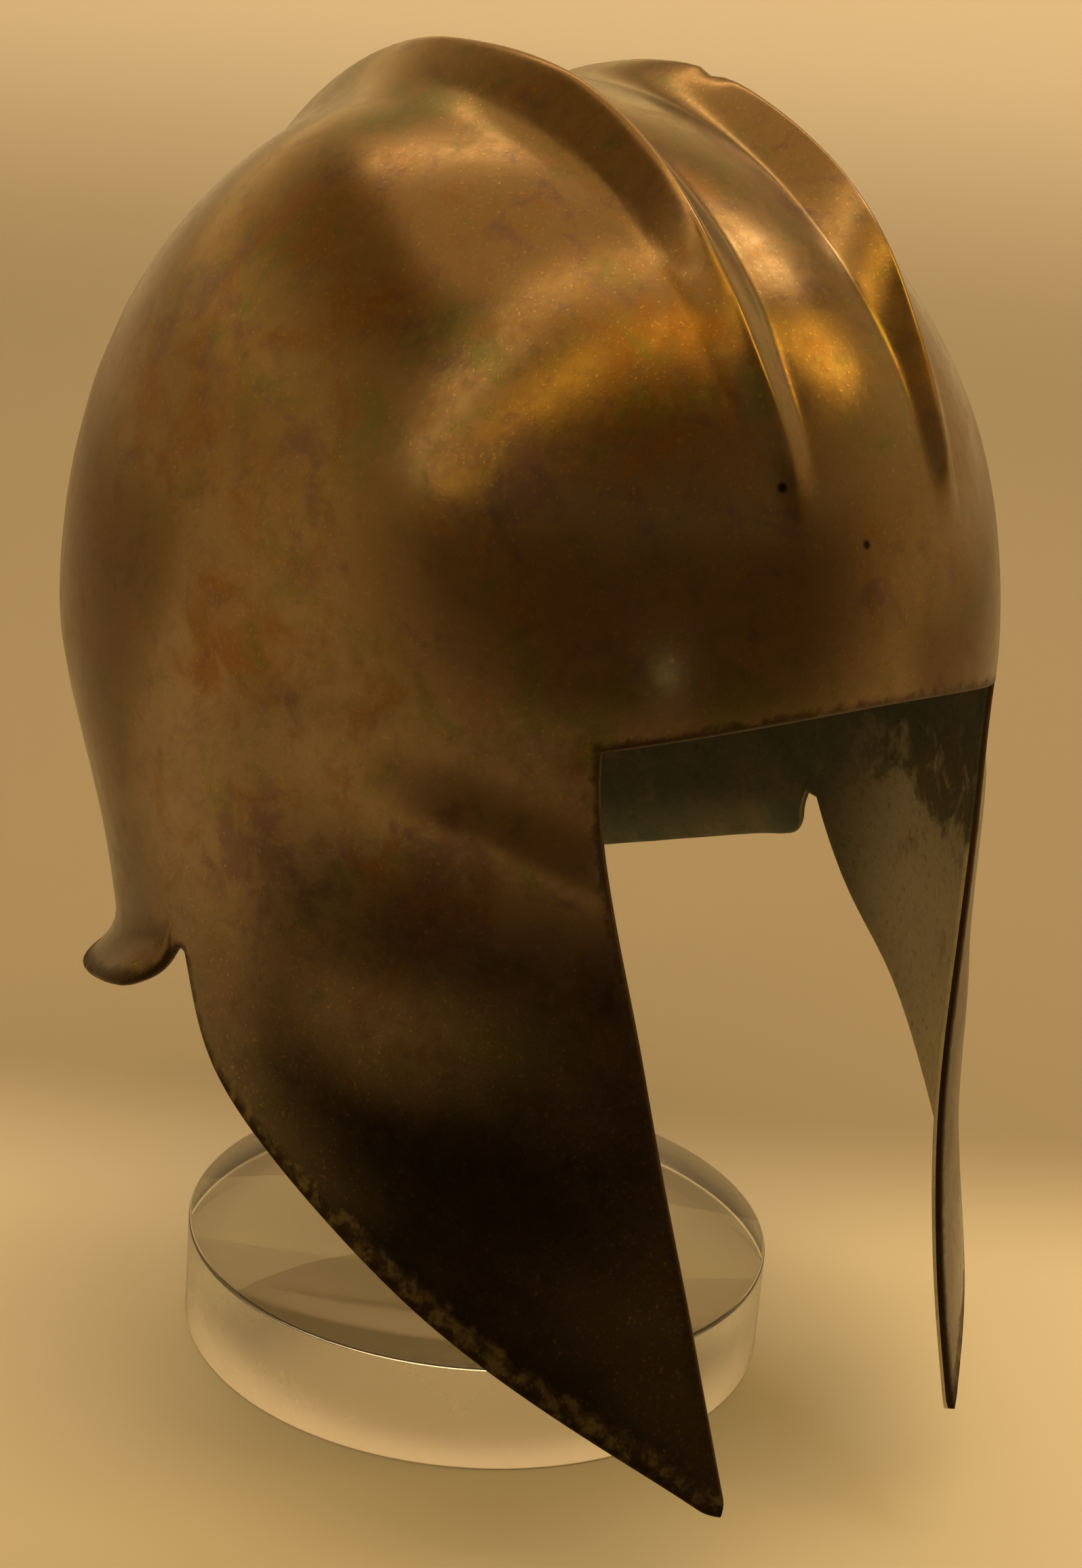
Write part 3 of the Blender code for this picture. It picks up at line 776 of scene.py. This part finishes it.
disc = turned("acrylic_disc", bevelled(DISC_RADIUS, 0.0, DISC_THICKNESS, DISC_BEVEL), DISC_SIDES)
post_profile = [(POST_RADIUS, POST_FOOT)]
for turn in np.radians(np.linspace(0.0, 80.0, 9)):
    post_profile.append((POST_RADIUS * math.cos(turn), POST_TOP - POST_DOME + POST_DOME * math.sin(turn)))
post = turned("acrylic_post", post_profile, POST_SIDES)
for piece in (disc, post):
    piece.data.set_sharp_from_angle(angle=math.radians(30))
from_axis = [math.hypot(*vertex.co.xy) / MM for vertex in disc.data.vertices]
add_marks(disc, "turned_edge", [1.0 if r > DISC_RADIUS - 0.01 else 0.0 for r in from_axis])
print("Disc and post in metres:", disc.dimensions[:], post.dimensions[:])

# %% [markdown]
# ## Colours and nodes
# Colours are written as sRGB hex values, the way a paint chart gives them, and one function turns them
# to the linear numbers that a shader needs. One more function adds a node, sets it and links it. Its
# values may be constants, sockets or other nodes, so a material reads from the first node to the last.


# %% Helpers for materials
def colour(hex_value):
    """An sRGB hex colour as linear red, green, blue and alpha."""
    parts = [int(hex_value[i:i + 2], 16) / 255 for i in (1, 3, 5)]
    return [c / 12.92 if c <= 0.04045 else ((c + 0.055) / 1.055) ** 2.4 for c in parts] + [1.0]


def add_node(tree, kind, settings, *values, **named):
    """Adds a node. Values go to its live inputs in their order, and named ones by their names."""
    node = tree.nodes.new("ShaderNode" + kind)
    for key, setting in settings.items():
        setattr(node, key, setting)
    live = [socket for socket in node.inputs if socket.enabled]
    pairs = list(zip(live, values)) + [(node.inputs[key], value) for key, value in named.items()]
    for socket, value in pairs:
        if isinstance(value, bpy.types.Node):
            value = next(output for output in value.outputs if output.enabled)
        if isinstance(value, bpy.types.NodeSocket):
            tree.links.new(value, socket)
        else:
            socket.default_value = value
    return node


def new_material(name, **sockets):
    """A material with one shader, and that shader's constant values set on its own sockets."""
    made = bpy.data.materials.new(name)
    made.use_nodes = True
    shader = made.node_tree.nodes["Principled BSDF"]
    for key, value in sockets.items():
        shader.inputs[key.replace("_", " ")].default_value = value
    return made, made.node_tree, shader


def per(size_mm):
    """A noise scale whose blotches are about this many millimetres across."""
    return 1 / (size_mm * MM)


EASED = {"interpolation_type": "SMOOTHSTEP"}
TINTED = {"data_type": "RGBA"}
SUM = {"operation": "ADD"}
PRODUCT = {"operation": "MULTIPLY"}
ALONG = {"operation": "DOT_PRODUCT"}
print("Mid grey in linear light:", round(colour("#808080")[0], 3))

# %% [markdown]
# ## Patinated bronze, outside
# The outside is tin bronze, hammered, polished and then buried for a very long time. It keeps a smooth
# brown skin. To the eye it is still a metal: its gloss is tinted, so metallic is 1 and the patina is
# the colour of the reflection. Painting it by hand was possible, but noise in real millimetres also
# covers the parts that are seldom seen, and it stays the same in every run.

# %% The bronze's brown skin
bronze, tree, shader = new_material("patinated tin bronze", Metallic=1.0)
where = add_node(tree, "TexCoord", {}).outputs["Object"]
height_up = add_node(tree, "SeparateXYZ", {}, where).outputs["Z"]
broad = add_node(tree, "TexNoise", {}, Vector=where, Scale=per(60.0), Detail=2.0, Roughness=0.5,
                 Distortion=0.4)
mottle = add_node(tree, "TexNoise", {}, Vector=where, Scale=per(3.2), Detail=5.0, Roughness=0.65)
speckle = add_node(tree, "TexNoise", {}, Vector=where, Scale=per(0.75), Detail=2.0, Roughness=0.6)

share = add_node(tree, "MapRange", EASED, broad, 0.36, 0.64)
skin = add_node(tree, "Mix", TINTED, share, colour("#786550"), colour("#857259"))
on_skull = add_node(tree, "MapRange", EASED, height_up, 0.165, 0.235, 0.0, 0.55)
skin = add_node(tree, "Mix", TINTED, on_skull, skin, colour("#7b6133"))
print("Bronze skin nodes:", len(tree.nodes))

# %% [markdown]
# ## Patches in the patina
# Tin oxide turned some places orange-brown, copper salts turned some olive, and some lean to violet:
# each 6 to 20 mm across, with a ragged edge. Noise gives the edge, and the marks on the mesh lift it
# over the threshold where a patch belongs. Above them lie a fine dark mottle, a darker low cheek,
# which is partly darker patina and partly painted shade, and specks of brighter metal.

# %% Patches, mottle and specks
MARK_LIFT = 0.20
PATINA_ROWS = (
    # mark, size in mm, detail, roughness, distortion, starts at, full at, most, colour
    ("orange", 15.0, 6.0, 0.62, 0.7, 0.48, 0.76, 0.75, "#785427"),
    ("olive", 12.0, 6.0, 0.64, 0.8, 0.50, 0.74, 0.75, "#666438"),
    ("violet", 9.0, 5.0, 0.62, 0.5, 0.52, 0.74, 0.70, "#66504a"),
)
fields = {}
for mark, size, detail, rough, distortion, low, high, most, tint in PATINA_ROWS:
    fields[mark] = add_node(tree, "TexNoise", {}, Vector=where, Scale=per(size), Detail=detail,
                            Roughness=rough, Distortion=distortion)
    marked = add_node(tree, "Attribute", {"attribute_name": mark}).outputs["Fac"]
    lift = add_node(tree, "Math", PRODUCT, marked, MARK_LIFT)
    lifted = add_node(tree, "Math", SUM, fields[mark], lift)
    share = add_node(tree, "MapRange", EASED, lifted, low, high, 0.0, most)
    skin = add_node(tree, "Mix", TINTED, share, skin, colour(tint))

mottled = add_node(tree, "MapRange", EASED, mottle, 0.50, 0.85, 0.0, 0.30)
# Painted shade and darker patina: the cheek darkens toward #3d3628 below 160 mm, mostly standing in for
# the dark reflection it shows.
low_cheek_patina_and_painted_shade = add_node(tree, "MapRange", EASED, height_up, 0.085, 0.160, 0.75, 0.0)
specks = add_node(tree, "MapRange", EASED, speckle, 0.58, 0.78, 0.0, 0.45)
for share, tint in ((mottled, "#5c4730"), (low_cheek_patina_and_painted_shade, "#3d3628"), (specks, "#b08c48")):
    skin = add_node(tree, "Mix", TINTED, share, skin, colour(tint))
print("Patches of", ", ".join(fields))

# %% [markdown]
# ## Wear, crust and pits
# Handling polished the crests to a lighter brown. The neck lip and the cheeks' rear edges keep a thin
# olive crust, the rim is darkened with painted shade where its thickness would lie in shadow, and three
# small pits show over the brow as dark spots of painted shade, with no hollow in the mesh. All but the
# pits follow the numbers that the mesh carries, so they stay on the edges wherever these run.

# %% Crests, crusted edges, rim and pits
PIT_ROWS = (
    # x, y, height, radius
    (-5.9, -103.4, 215.2, 1.1), (-24.0, -97.0, 226.0, 1.2), (-58.0, -86.0, 204.0, 0.7),
)
crest_mark, crusted_mark, rim_mark = [
    add_node(tree, "Attribute", {"attribute_name": name}).outputs["Fac"]
    for name in ("crest", "crusted", "rim")
]
polished = add_node(tree, "MapRange", EASED, crest_mark, 0.60, 1.0, 0.0, 0.2)
skin = add_node(tree, "Mix", TINTED, polished, skin, colour("#a5875c"))

crusted = add_node(tree, "MapRange", EASED, add_node(tree, "Math", SUM, crusted_mark, mottle), 0.75, 1.15)
grains = add_node(tree, "MapRange", EASED, mottle, 0.42, 0.66)
crust_tint = add_node(tree, "Mix", TINTED, grains, colour("#3a3024"), colour("#6f6342"))
skin = add_node(tree, "Mix", TINTED, crusted, skin, crust_tint)

# Painted shade: a dark band, #33261a, darkest at the edge and gone by about 3 mm, stands for the shade on
# the rim's thickness.
unevenness = add_node(tree, "MapRange", EASED, mottle, 0.3, 0.7, -0.9, 0.9)
from_rim = add_node(tree, "Math", SUM, rim_mark, unevenness)
painted_rim_shade = add_node(tree, "MapRange", EASED, from_rim, 0.6, 3.0, 0.7, 0.0)
skin = add_node(tree, "Mix", TINTED, painted_rim_shade, skin, colour("#33261a"))

# Painted shade: each pit is a dark spot of colour, not a hollow cut into the mesh.
for x, y, z, radius in PIT_ROWS:
    middle = (x * MM, y * MM, z * MM)
    away = add_node(tree, "VectorMath", {"operation": "DISTANCE"}, where, middle)
    painted_pit_shade = add_node(tree, "MapRange", EASED, away, 0.5 * radius * MM, 1.2 * radius * MM, 0.9, 0.0)
    skin = add_node(tree, "Mix", TINTED, painted_pit_shade, skin, colour("#150f08"))
tree.links.new(skin.outputs[2], shader.inputs["Base Color"])
print("Pits:", len(PIT_ROWS))

# %% [markdown]
# ## The bronze's gloss
# A polished skin under patina mirrors softly: roughness near 0.25 gives lights a clear edge without a
# hard mirror image. Orange patches are a little duller, and the rim and the crust much duller.
# A faint bump from the same noise breaks the lights up, at most some hundredths of a millimetre.

# %% Roughness and bump of the bronze
by_patch = add_node(tree, "MapRange", EASED, fields["orange"], 0.35, 0.7, 0.20, 0.27)
by_mottle = add_node(tree, "MapRange", EASED, mottle, 0.3, 0.7, -0.02, 0.03)
by_rim = add_node(tree, "MapRange", EASED, from_rim, 0.6, 3.0, 0.25, 0.0)
by_crust = add_node(tree, "Math", PRODUCT, crusted, 0.3)
dull = by_patch
for more in (by_mottle, by_rim, by_crust):
    dull = add_node(tree, "Math", SUM, dull, more)
tree.links.new(dull.outputs[0], shader.inputs["Roughness"])

coarse = add_node(tree, "Math", PRODUCT, mottle, 0.30)
fine = add_node(tree, "Math", PRODUCT, speckle, 0.10)
height = add_node(tree, "Math", SUM, coarse, fine)
bump = add_node(tree, "Bump", {}, Height=height, Strength=0.16, Distance=0.3 * MM)
tree.links.new(bump.outputs["Normal"], shader.inputs["Normal"])
print("Bronze nodes:", len(tree.nodes))

# %% [markdown]
# ## Burial crust, inside
# Nobody polished the inside. It keeps a thin dull crust of earth and green copper salts over the metal:
# matte, so roughness is near 0.9 and it isn't metallic. Some places turn cream where the salts bloomed,
# most of all low on the cheeks, below a ragged edge.

# %% The crust's colours
crust, tree, shader = new_material("copper salt crust", Metallic=0.0)
where = add_node(tree, "TexCoord", {}).outputs["Object"]
broad = add_node(tree, "TexNoise", {}, Vector=where, Scale=per(38.0), Detail=4.0, Roughness=0.6,
                 Distortion=0.5)
bloom = add_node(tree, "TexNoise", {}, Vector=where, Scale=per(12.0), Detail=5.0, Roughness=0.65,
                 Distortion=0.4)
speck = add_node(tree, "TexNoise", {}, Vector=where, Scale=per(2.2), Detail=5.0, Roughness=0.7)
parts = add_node(tree, "SeparateXYZ", {}, where)

raggedness = add_node(tree, "MapRange", EASED, bloom, 0.3, 0.7, -0.014, 0.014)
ragged = add_node(tree, "Math", SUM, parts.outputs["Z"], raggedness)
below = add_node(tree, "MapRange", EASED, ragged, 0.128, 0.148, 0.85, 0.0)
on_cheek = add_node(tree, "MapRange", EASED, parts.outputs["Y"], -0.05, -0.01, 1.0, 0.0)
creamy = add_node(tree, "Math", PRODUCT, below, on_cheek)
greenish = add_node(tree, "MapRange", EASED, broad, 0.40, 0.62)
bloomed = add_node(tree, "MapRange", EASED, bloom, 0.52, 0.75, 0.0, 0.6)
earthy = add_node(tree, "MapRange", EASED, speck, 0.50, 0.80, 0.0, 0.6)

crust_colour = colour("#716b58")
for share, tint in ((greenish, "#596051"), (creamy, "#d6cdb4"), (bloomed, "#948b70"), (earthy, "#453b2b")):
    crust_colour = add_node(tree, "Mix", TINTED, share, crust_colour, colour(tint))
tree.links.new(crust_colour.outputs[2], shader.inputs["Base Color"])
print("Crust nodes:", len(tree.nodes))

# %% The crust's grain, and both finishes on the helmet
dull = add_node(tree, "MapRange", EASED, speck, 0.3, 0.7, 0.82, 0.95)
tree.links.new(dull.outputs[0], shader.inputs["Roughness"])
bump = add_node(tree, "Bump", {}, Height=speck, Strength=0.6, Distance=0.5 * MM)
tree.links.new(bump.outputs["Normal"], shader.inputs["Normal"])

for made in (bronze, crust):
    helmet.data.materials.append(made)
helmet.data.polygons.foreach_set("material_index", finish)
print("Finishes on the helmet:", [made.name for made in helmet.data.materials])

# %% [markdown]
# ## Clear acrylic
# The stand is cast acrylic: clear, very slightly warm, with an index of refraction of 1.49. Handling
# leaves faint marks, which show as a little roughness. The disc's turned side is satin, which spreads
# what is seen through it.

# %% The acrylic material
acrylic, tree, shader = new_material("clear cast acrylic", Transmission_Weight=1.0, IOR=1.49,
                                     Base_Color=colour("#fbf7ee"))
where = add_node(tree, "TexCoord", {}).outputs["Object"]
handling = add_node(tree, "TexNoise", {}, Vector=where, Scale=per(30.0), Detail=4.0, Roughness=0.6)
turned_edge = add_node(tree, "Attribute", {"attribute_name": "turned_edge"}).outputs["Fac"]
marks = add_node(tree, "MapRange", EASED, handling, 0.45, 0.75, 0.012, 0.06)
satin = add_node(tree, "MapRange", EASED, turned_edge, 0.0, 1.0, 0.0, 0.24)
dull = add_node(tree, "Math", SUM, marks, satin)
tree.links.new(dull.outputs[0], shader.inputs["Roughness"])
for piece in (disc, post):
    piece.data.materials.append(acrylic)
print("Acrylic nodes:", len(tree.nodes))

# %% [markdown]
# ## Ride and replace
# Each new piece rides on the model's one rigid body and stands for the solid that it replaces.

# %% Join the pieces to the frame
for piece, node, slot in (
    (helmet, "helmet", "aged_bronze"),
    (disc, "stand_base", "clear_acrylic"),
    (post, "stand_post", "clear_acrylic"),
):
    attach(piece, "root")
    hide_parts(node)
print("Pieces joined:", helmet.name, disc.name, post.name)

# %% [markdown]
# ## Floor
# A plain pale sweep of studio paper carries the disc: level where the helmet stands, then curved up far
# away, so that no horizon shows. A turned profile makes it, closed in the middle. Bronze mirrors the
# paper, so its tone matters. It is palest under the stand, a little deeper behind with painted shade,
# and painted dark in front of the helmet, beside the view, as painted shade that the cheeks and the
# brow mirror, which keeps them dark.

# %% The paper sweep
SWEEP_FLAT = 1300.0
SWEEP_BEND = 900.0
SWEEP_WALL = 1000.0
sweep_profile = [(60.0 * step, -0.05) for step in range(1, 5)] + [(480.0, -0.05), (SWEEP_FLAT, -0.05)]
for turn in np.radians(np.linspace(6.0, 90.0, 15)):
    sweep_profile.append((SWEEP_FLAT + SWEEP_BEND * math.sin(turn), SWEEP_BEND * (1 - math.cos(turn))))
sweep_profile.append((SWEEP_FLAT + SWEEP_BEND, SWEEP_WALL))


def open_sweep(name, profile, sides):
    """A round paper sweep, closed in the middle and open at its top."""
    turn = np.linspace(0, 2 * math.pi, sides, endpoint=False)
    rings = [np.stack([r * np.cos(turn), r * np.sin(turn), np.full(sides, h)], -1) for r, h in profile]
    faces = [tuple(range(sides))]
    for low in range(0, (len(profile) - 1) * sides, sides):
        high = low + sides
        faces += [(low + k, high + k, high + (k + 1) % sides, low + (k + 1) % sides) for k in range(sides)]
    return add_mesh(name, np.concatenate(rings), faces)


floor = open_sweep("studio_floor", sweep_profile, 96)
print("Sweep out to", (SWEEP_FLAT + SWEEP_BEND) * MM, "metres")

# %% The paper's colours
TOWARD_VIEW = (-0.66, -0.75, 0.0)
TOWARD_DARK = (-0.42, -0.90, 0.0)
paper, tree, shader = new_material("matte studio paper", Roughness=0.8, Specular_IOR_Level=0.2)
where = add_node(tree, "TexCoord", {}).outputs["Object"]
parts = add_node(tree, "SeparateXYZ", {}, where)
toward_view = add_node(tree, "VectorMath", ALONG, where, TOWARD_VIEW)
toward_dark = add_node(tree, "VectorMath", ALONG, where, TOWARD_DARK)
reach = add_node(tree, "VectorMath", {"operation": "LENGTH"}, where)

# Painted shade: the floor behind the helmet is darkened (#b5ae9f), and the paper toward the front, on the
# wall (#70675a) and the near floor (#352e24), is painted dark so that the bronze mirrors shade there.
past_object = add_node(tree, "MapRange", EASED, toward_view, -0.13, -0.03, 1.0, 0.0)
low = add_node(tree, "MapRange", EASED, parts.outputs["Z"], 0.02, 0.35, 1.0, 0.0)
painted_shade_behind = add_node(tree, "Math", PRODUCT, past_object, low)
painted_shade_front_wall = add_node(tree, "MapRange", EASED, toward_dark, 0.2, 1.5)
in_front = add_node(tree, "MapRange", EASED, toward_view, 0.10, 0.22)
near = add_node(tree, "MapRange", EASED, reach, 0.40, 0.86, 1.0, 0.0)
painted_shade_near_front = add_node(tree, "Math", PRODUCT, in_front, near)
paper_colour = colour("#f6f3ea")
for share, tint in ((painted_shade_behind, "#b5ae9f"), (painted_shade_front_wall, "#70675a"), (painted_shade_near_front, "#352e24")):
    paper_colour = add_node(tree, "Mix", TINTED, share, paper_colour, colour(tint))
tree.links.new(paper_colour.outputs[2], shader.inputs["Base Color"])
floor.data.materials.append(paper)
print("Paper nodes:", len(tree.nodes))

# %% [markdown]
# ## Light
# Old bronze is seen mostly by what it reflects. Two long strips overhead, one pale and one golden, draw
# the two bands over the skull. Two small lamps on the far side light the channel between the ridges,
# a very small one in front gives a glint on the brow, and two broad ones wash the paper and the crown.
# Radiance is given instead of watts, because it says how bright a lamp's mirror image looks.


# %% Lamps
def aim(thing, target):
    """Turns a lamp so that it shines at a point."""
    direction = Vector(target) - thing.location
    thing.rotation_euler = direction.to_track_quat("-Z", "Y").to_euler()


def add_panel(name, place_m, target_m, size, radiance, tint):
    """A flat soft light of a given brightness, with its long side level."""
    data = bpy.data.lights.new(name, "AREA")
    data.shape = "RECTANGLE"
    data.size, data.size_y = size
    data.energy = radiance * math.pi * size[0] * size[1]
    data.color = colour(tint)[:3]
    lamp = bpy.data.objects.new(name, data)
    lamp.location = place_m
    bpy.context.scene.collection.objects.link(lamp)
    aim(lamp, target_m)
    return lamp


HEAD = (0.0, 0.0, 0.18)
LAMP_ROWS = (
    # name, place, target and size in metres, radiance, colour
    ("pale_strip", (-1.1, -0.27, 1.5), (-1.1, -0.03, 0.18), (4.6, 0.14), 2.7, "#ffdfae"),
    ("gold_strip", (-1.1, -0.66, 1.45), (-1.1, -0.1, 0.18), (4.2, 0.17), 2.4, "#ffd05e"),
    ("far_lamp", (1.0, -0.12, 1.5), HEAD, (0.24, 0.20), 7.0, "#ffe9c4"),
    ("far_gold", (1.05, -0.62, 1.25), HEAD, (0.30, 0.34), 4.4, "#ffd066"),
    ("front_glint", (-0.56, -1.40, 0.15), HEAD, (0.10, 0.05), 4.0, "#ffeed0"),
    ("wall_wash", (0.75, 0.85, 2.3), (1.5, 1.7, 0.75), (2.4, 0.5), 4.0, "#ffdcac"),
    ("ceiling_panel", (0.3, 0.3, 2.6), HEAD, (3.0, 3.0), 0.7, "#ffd9a0"),
)
for row in LAMP_ROWS:
    add_panel(*row)
print("Lamps:", len(LAMP_ROWS))

# %% [markdown]
# ## The room
# What no lamp or paper covers is a soft warm glow: paler behind, deeper in front and overhead.

# %% The room's glow
WORLD_STRENGTH = 1.24
world = bpy.data.worlds.new("soft room")
bpy.context.scene.world = world
world.use_nodes = True
tree = world.node_tree
background = tree.nodes["Background"]
way = add_node(tree, "TexCoord", {}).outputs["Generated"]
parts = add_node(tree, "SeparateXYZ", {}, way)
toward_dark = add_node(tree, "VectorMath", ALONG, way, TOWARD_DARK)
to_front = add_node(tree, "MapRange", EASED, toward_dark, -1.0, 0.9)
room = add_node(tree, "Mix", TINTED, to_front, colour("#fcd48c"), colour("#75644b"))
overhead = add_node(tree, "MapRange", EASED, parts.outputs["Z"], 0.38, 0.78, 0.0, 0.85)
room = add_node(tree, "Mix", TINTED, overhead, room, colour("#6e4c20"))
tree.links.new(room.outputs[2], background.inputs["Color"])
background.inputs["Strength"].default_value = WORLD_STRENGTH
print("Room glow strength:", WORLD_STRENGTH)

# %% [markdown]
# ## Camera
# The camera stands where the measured view was taken: in front of the wearer's right cheek, a little
# above the crown, with a slight roll.

# %% The camera
VIEW_AZIMUTH = math.radians(-41.612168)
VIEW_ELEVATION = math.radians(17.87286)
VIEW_ROLL = math.radians(4.69981)
VIEW_PLACE = (-349.9, -403.8, 308.8)
IMAGE_HEIGHT = 2312
FOCAL_PIXELS = 3602.58
SENSOR = 36.0

lens = bpy.data.cameras.new("view")
lens.sensor_fit = "VERTICAL"
lens.sensor_height = SENSOR
lens.lens = FOCAL_PIXELS / IMAGE_HEIGHT * SENSOR
lens.clip_start = 0.01
camera = bpy.data.objects.new("view", lens)
bpy.context.scene.collection.objects.link(camera)
side = Vector((math.cos(VIEW_AZIMUTH), math.sin(VIEW_AZIMUTH), 0.0))
level_back = Vector((math.sin(VIEW_AZIMUTH), -math.cos(VIEW_AZIMUTH), 0.0))
back = level_back * math.cos(VIEW_ELEVATION) + Vector((0.0, 0.0, math.sin(VIEW_ELEVATION)))
up = back.cross(side)
x_axis = side * math.cos(VIEW_ROLL) + up * math.sin(VIEW_ROLL)
y_axis = up * math.cos(VIEW_ROLL) - side * math.sin(VIEW_ROLL)
turn = Matrix((x_axis, y_axis, back)).transposed()
camera.matrix_world = Matrix.Translation(Vector(VIEW_PLACE) * MM) @ turn.to_4x4()
bpy.context.scene.camera = camera
bpy.context.scene.view_settings.view_transform = "Standard"
print("Lens in mm:", round(lens.lens, 2), "camera at", tuple(round(c * MM, 4) for c in VIEW_PLACE))

# %% [markdown]
# ## Final update
# The view layer is brought up to date, so that every object's place is current.

# %% Update the view layer
bpy.context.view_layer.update()
